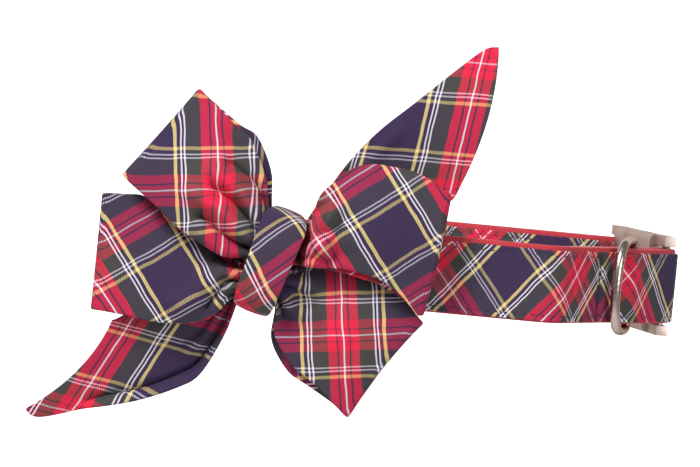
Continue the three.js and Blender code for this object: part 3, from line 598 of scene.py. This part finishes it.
to_socket_bar = [
    (FRONT_STRAIGHT, 0),
    turn(*FRONT_BEND),
    (DOUBLED_END - RAISED - sidestep_run(BULGE), 0),
    *sidestep(-BULGE),
    (RAISED, 0),
]
socket_bar_end = walk((*FRONT_START, 0), to_socket_bar)[-1][1:4]
socket_side = walk((*FRONT_START, 0), to_socket_bar + [turn(FOLD_RADIUS, math.pi),
                                                       (RETURN_LENGTH, 0)])
SOCKET_BAR = beside(socket_bar_end, FOLD_RADIUS)
BACK_Y = FRONT_START[1] + COLLAR_DEPTH
TONGUE_BAR_Y = BACK_Y - FOLD_RADIUS
BAR_RISE = TONGUE_BAR_Y - SOCKET_BAR[1]
TONGUE_BAR_X = SOCKET_BAR[0] - math.sqrt(BUCKLE_BAR_TO_BAR ** 2 - BAR_RISE ** 2)
SLIDE_TURN_RADIUS = (SLIDE["bar_radius"] + 2 * CLEARANCE + FACING["thickness"]
                     + WEBBING["thickness"] / 2)
CORNER_RADIUS, CORNER_ANGLE = LEFT_CORNER
CORNER_DEPTH = CORNER_RADIUS * (1 - math.cos(CORNER_ANGLE))
END_RADIUS = (COLLAR_DEPTH / 2 - CORNER_DEPTH) / math.cos(CORNER_ANGLE)
tongue_side = walk((*FRONT_START, math.pi), [
    turn(CORNER_RADIUS, -CORNER_ANGLE),
    turn(END_RADIUS, 2 * CORNER_ANGLE - math.pi),
    turn(CORNER_RADIUS, -CORNER_ANGLE),
    (TONGUE_BAR_X - FRONT_START[0], 0),
    turn(FOLD_RADIUS, -math.pi),
    (TONGUE_BAR_X - SLIDE["x"] - sidestep_run(BULGE) - SLIDE["length"] / 2, 0),
    *sidestep(-BULGE),
    (SLIDE["length"] / 2, 0),
    turn(SLIDE_TURN_RADIUS, math.pi),
    (SLIDE["end_turn"], 0),
])


def strap_pose(distance):
    """The strap's pose at a distance from the front's left end, negative towards the buckle."""
    if distance >= 0:
        return pose_at(tongue_side, distance)
    x, y, heading = pose_at(socket_side, -distance)
    return x, y, heading + math.pi


STRAP_START = -socket_side[-1][0]
STRAP_LENGTH = socket_side[-1][0] + tongue_side[-1][0]
FACING_OFFSET = WEBBING["thickness"] / 2 + CLEARANCE + FACING["thickness"] / 2
FACE_Y = FRONT_START[1] - FACING_OFFSET - FACING["thickness"] / 2


def back_sag(distance):
    """How far the free strap sags behind the bow."""
    beside_middle = abs(distance - BACK_SAG["middle"]) / BACK_SAG["half_length"]
    return BACK_SAG["drop"] * (1 - smoothstep(0, 1, beside_middle))


def webbing():
    def place(along, across):
        distance = STRAP_START + along * STRAP_LENGTH
        x, y = beside(strap_pose(distance), 0)
        height = (across - 0.5) * WEBBING["width"]
        return Vector((x, y, height - back_sag(distance))), (distance, height)

    piece = sheet("webbing_woven", RED, WEBBING_GRID, place)
    thicken(piece, WEBBING["thickness"], bevel=WEBBING_RIM)
    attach(piece, "collar")
    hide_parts("webbing")
    return piece


def stitch_dip(height, distance):
    """How far the sewing pulls the facing in at a place on it."""
    beside_line = abs(height) - STITCH["from_middle"]
    around = math.cos(2 * math.pi * distance / STITCH["pitch"])
    pull = STITCH_PULL["steady"] + STITCH_PULL["varying"] * around
    lines = STITCH_PULL["depth"] * math.exp(-(beside_line / STITCH_PULL["breadth"]) ** 2) * pull
    from_seam = (distance + CROSS_SEAM) / CROSS_PULL["breadth"]
    seam = CROSS_PULL["depth"] * math.exp(-from_seam ** 2)
    return max(lines, seam)


def facing():
    def place(along, across):
        distance = STRAP_START + along * STRAP_LENGTH
        scallop = STITCH["scallop"] * abs(math.sin(math.pi * distance / STITCH["pitch"]))
        flat_height = (across - 0.5) * FACING["width"]
        height = flat_height * (1 - (scallop / (FACING["width"] / 2)))
        dip = stitch_dip(flat_height, distance)
        x, y = beside(strap_pose(distance), FACING_OFFSET - dip)
        mirrored = abs(distance + CROSS_SEAM) - CROSS_SEAM
        return (Vector((x, y, height - FACING["drop"] - back_sag(distance))),
                cut_place(mirrored * FACING_SHRINK, flat_height * FACING_SHRINK, FACING_CUT))

    piece = sheet("tartan_facing_ribbon", TARTAN, FACING_GRID, place)
    thicken(piece, FACING["thickness"], bevel=FACING_RIM)
    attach(piece, "collar")
    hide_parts("tartan_facing")
    return piece


def stitch(shape, middle, direction, length):
    """One stitch, a little bar of thread with round ends."""
    turned = Vector(direction).to_track_quat("X", "Z").to_matrix().to_4x4()
    size = Matrix.Diagonal((length / 2, STITCH["radius"], STITCH["radius"], 1))
    bmesh.ops.create_uvsphere(shape, radius=MM, **STITCH_FACETS,
                              matrix=Matrix.Translation(Vector(middle) * MM) @ turned @ size)


def stitching():
    """The navy rows along both edges, and the row across the doubled end."""
    shape = bmesh.new()
    surface = FACING_OFFSET + FACING["thickness"] / 2
    count = int(STRAP_LENGTH / STITCH["pitch"])
    for index in range(count):
        distance = STRAP_START + (index + 0.5) * STITCH["pitch"]
        pose = strap_pose(distance)
        x, y = beside(pose, surface - STITCH["sunk"])
        heading = (math.cos(pose[2]), math.sin(pose[2]), 0)
        for height in (-STITCH["from_middle"], STITCH["from_middle"]):
            level = height - FACING["drop"] - back_sag(distance)
            stitch(shape, (x, y, level), heading, STITCH["length"])
    pose = strap_pose(-CROSS_SEAM)
    x, y = beside(pose, surface - CROSS_STITCH["sunk"])
    for index in range(-CROSS_STITCH["each_side"], CROSS_STITCH["each_side"] + 1):
        level = index * CROSS_STITCH["pitch"] - FACING["drop"]
        stitch(shape, (x, y, level), (0, 0, 1), CROSS_STITCH["length"])
    piece = finish_mesh("edge_stitching", shape, THREAD)
    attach(piece, "collar")
    return piece


# Bow

def bow_point(angle_degrees, along, aside, depth):
    angle = math.radians(angle_degrees)
    return Vector((
        BOW_X + along * math.cos(angle) - aside * math.sin(angle),
        FACE_Y - depth,
        BOW_Z + along * math.sin(angle) + aside * math.cos(angle),
    ))


def fold_height(folds, share, across, reach):
    """How far the folds lift the cloth at a place on a strip."""
    here = Vector((share * reach, across * STRIP_WIDTH))
    height = 0
    for line, breadth, rise in folds:
        nearest = None
        for start, end in zip(line, line[1:]):
            first = Vector((start[0] * reach, start[1] * STRIP_WIDTH))
            run = Vector((end[0] * reach, end[1] * STRIP_WIDTH)) - first
            part = min(max((here - first).dot(run) / run.length_squared, 0), 1)
            gap = (here - first - run * part).length
            nearest = gap if nearest is None else min(nearest, gap)
        height += rise * math.exp(-(nearest / breadth) ** 2)
    return height


def layer_point(piece, run, depth_column, peek, share, across, pleat_depth):
    """A point of one layer, on the parabola across its three lines, pleated near the knot."""
    row = spline(piece["rows"], share)
    lift = math.sin(math.pi * share) ** 2
    weights = ((1 - across) * (1 - 2 * across), 4 * across * (1 - across),
               across * (2 * across - 1))
    sides = (row[1] + lift * peek[0], row[3], row[5] + lift * peek[1])
    along = sum(w * row[2 * k] for k, w in enumerate(weights)) * run
    aside = sum(w * sides[k] for k, w in enumerate(weights)) * STRIP_WIDTH
    depth = sum(w * row[depth_column + k] for k, w in enumerate(weights)) * BOW_DEPTH
    fade = 1 - smoothstep(*PLEAT_FADE, share)
    depth += pleat_depth * fade * math.cos(2 * math.pi * PLEAT_COUNT * across)
    spread = 1 - smoothstep(*GATHER_FADE, share)
    flat_side = aside + spread * ((across - 0.5) * STRIP_WIDTH - aside + sides[1] * STRIP_WIDTH)
    return bow_point(piece["angle"], along, aside, depth), along, flat_side


FRONT_PART = 0.47
FOLD_PART = 0.06


def loop(name):
    """A loop: a front layer from the knot, a soft fold and a back layer to the knot again."""
    shape = LOOPS[name]
    run = shape["reach"] - FOLD_ALLOWANCE
    outward = bow_point(shape["angle"], 1, 0, 0) - bow_point(shape["angle"], 0, 0, 0)

    def place(along, across):
        if along <= FRONT_PART:
            point, out, side = layer_point(shape, run, 6, (0, 0), along / FRONT_PART, across,
                                           FRONT_PLEAT)
            point.y -= fold_height(FOLDS[name], along / FRONT_PART, across, shape["reach"])
            flat_along = out - run - FOLD_ALLOWANCE
        elif along < FRONT_PART + FOLD_PART:
            angle = math.pi * (along - FRONT_PART) / FOLD_PART
            front, out, side = layer_point(shape, run, 6, (0, 0), 1, across, 0)
            back = layer_point(shape, run, 9, shape["peek"], 1, across, 0)[0]
            radius = (front - back).length / 2
            point = (front + back) / 2 + (front - back) * (math.cos(angle) / 2)
            point = point + outward * (math.sin(angle) * radius)
            flat_along = out - run - FOLD_ALLOWANCE * math.cos(angle)
        else:
            share = (1 - along) / (1 - FRONT_PART - FOLD_PART)
            point, out, side = layer_point(shape, run, 9, shape["peek"], share, across,
                                           BACK_PLEAT)
            edge = layer_point(shape, run, 9, shape["peek"], 1, across, 0)[1]
            flat_along = 2 * edge - out - run + FOLD_ALLOWANCE
        return point, cut_place(flat_along, side, shape["cut"])

    piece = sheet(name + "_cloth", TARTAN, LOOP_GRID, place)
    thicken(piece, BOW_CLOTH, levels=1)
    dress(piece, name)
    return piece


def dress(piece, name):
    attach(piece, "collar")
    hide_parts(name)


def tail(name):
    """A tail: one flat strip from behind the knot to its slanted cut."""
    shape = TAILS[name]

    def place(along, across):
        point, out, side = layer_point(shape, shape["reach"], 6, (0, 0), along, across, 0)
        point.y -= fold_height(FOLDS[name], along, across, shape["reach"])
        return point, cut_place(out - shape["reach"], side, shape["cut"])

    piece = sheet(name + "_cloth", TARTAN, TAIL_GRID, place)
    thicken(piece, BOW_CLOTH, levels=1)
    dress(piece, name)
    return piece


def knot_band():
    """The band round the loops' ends and the strap, closed on itself behind the strap."""
    strap_back = FACING["thickness"] + CLEARANCE + WEBBING["thickness"]
    back = -(strap_back + BAND["back_gap"] + BAND["thickness"] / 2)
    rows = [(h * BAND["half_height"], back + p * (BAND["front"] - back), w * BAND["width"])
            for h, p, w in BAND_ROWS]
    around = 2 * math.pi * BAND["round_radius"]

    def place(along, across):
        height, depth, width = spline(rows, (along + 0.5) % 1, closed=True)
        ahead = spline(rows, (along + 0.5 + BAND["tangent_step"]) % 1, closed=True)
        tangent = Vector((ahead[0] - height, ahead[1] - depth)).normalized()
        bulge = BAND["bulge"] * (1 - abs(2 * across - 1) ** 3) * BAND["thickness"]
        height -= tangent.y * bulge
        depth += tangent.x * bulge
        side = (across - 0.5) * width
        point = bow_point(90 - BAND["lean"], height, side, depth)
        return point, cut_place((along - 0.5) * around, side, BAND_CUT)

    piece = sheet("knot_band_cloth", TARTAN, BAND_GRID, place, closed=True)
    thicken(piece, BAND["wall"], levels=1)
    dress(piece, "knot_band")
    return piece


# Metal

def metal(name, bevel=0.0, levels=0, swell=0.0):
    """A finer copy of a metal part: castings get rounded edges, the wire a smoother surface."""
    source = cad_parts[name]
    shape = bmesh.new()
    shape.from_mesh(source.data)
    bmesh.ops.remove_doubles(shape, verts=shape.verts, dist=WELD_DISTANCE * MM)
    for vertex in shape.verts:
        vertex.co += vertex.normal * (swell * MM)
    if bevel:
        bmesh.ops.dissolve_limit(shape, angle_limit=FLAT_ANGLE, verts=shape.verts,
                                 edges=shape.edges)
    plate = WIRE_NICKEL if name == "d_ring" else CAST_NICKEL
    piece = finish_mesh(name + "_polished", shape, plate)
    if bevel:
        rim = piece.modifiers.new("rounded_edge", "BEVEL")
        rim.width = bevel * MM
        rim.segments = 3
        rim.limit_method = "ANGLE"
        rim.angle_limit = CASTING_EDGE_ANGLE
        rim.harden_normals = True
    if levels:
        smooth = piece.modifiers.new("round_wire", "SUBSURF")
        smooth.levels = levels
        smooth.render_levels = levels
    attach(piece, "ring" if name == "d_ring" else "collar")
    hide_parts(name)
    return piece


def camera():
    back = Vector((0, -math.cos(CAMERA_RISE), math.sin(CAMERA_RISE)))
    level = Vector((1, 0, 0))
    upright = back.cross(level)
    right = level * math.cos(CAMERA_ROLL) + upright * math.sin(CAMERA_ROLL)
    up = upright * math.cos(CAMERA_ROLL) - level * math.sin(CAMERA_ROLL)
    data = bpy.data.cameras.new("photo_camera")
    data.lens = CAMERA_LENS
    data.sensor_width = CAMERA_SENSOR
    view = bpy.data.objects.new("photo_camera", data)
    turned = Matrix((right, up, back)).transposed().to_4x4()
    view.matrix_world = Matrix.Translation(CAMERA_AIM + back * CAMERA_DISTANCE) @ turned
    bpy.context.scene.collection.objects.link(view)
    bpy.context.scene.camera = view


def area_light(name, place, size, power):
    data = bpy.data.lights.new(name, "AREA")
    data.size = size
    data.energy = power
    light = bpy.data.objects.new(name, data)
    light.location = place
    light.rotation_euler = (CAMERA_AIM - Vector(place)).to_track_quat("-Z", "Y").to_euler()
    bpy.context.scene.collection.objects.link(light)


def studio():
    """A pale floor, a bright white backdrop, soft lamps above left and at the right."""
    shape = bmesh.new()
    bmesh.ops.create_grid(shape, x_segments=1, y_segments=1, size=STUDIO["size"])
    for vertex in shape.verts:
        vertex.co.z = -STUDIO["drop"]
    material, tree, shader = new_material("white_floor")
    shader.inputs["Base Color"].default_value = linear("#f2f2f2")
    shader.inputs["Roughness"].default_value = 0.9
    floor = finish_mesh("floor", shape, material)
    shape = bmesh.new()
    bmesh.ops.create_grid(shape, x_segments=1, y_segments=1, size=STUDIO["size"])
    for vertex in shape.verts:
        vertex.co = Vector((vertex.co.x, STUDIO["behind"], vertex.co.y))
    material, tree, shader = new_material("white_backdrop")
    shader.inputs["Base Color"].default_value = linear("#ffffff")
    shader.inputs["Emission Color"].default_value = linear("#ffffff")
    shader.inputs["Emission Strength"].default_value = 1.0
    backdrop = finish_mesh("backdrop", shape, material)
    world = bpy.data.worlds.new("grey_surround")
    world.use_nodes = True
    surround = world.node_tree.nodes["Background"]
    surround.inputs["Color"].default_value = linear("#ffffff")
    surround.inputs["Strength"].default_value = STUDIO["surround"]
    bpy.context.scene.world = world
    for name, (place, size, power) in LAMPS.items():
        area_light(name, place, size, power)
    bpy.context.scene.view_settings.view_transform = "Standard"


camera()
webbing()
facing()
stitching()
for loop_name in LOOPS:
    loop(loop_name)
for tail_name in TAILS:
    tail(tail_name)
knot_band()
metal("d_ring", levels=2, swell=0.27)
metal("buckle_socket", bevel=0.5)
metal("buckle_tongue", bevel=0.4)
metal("slide", bevel=0.35)
studio()

bpy.context.view_layer.update()
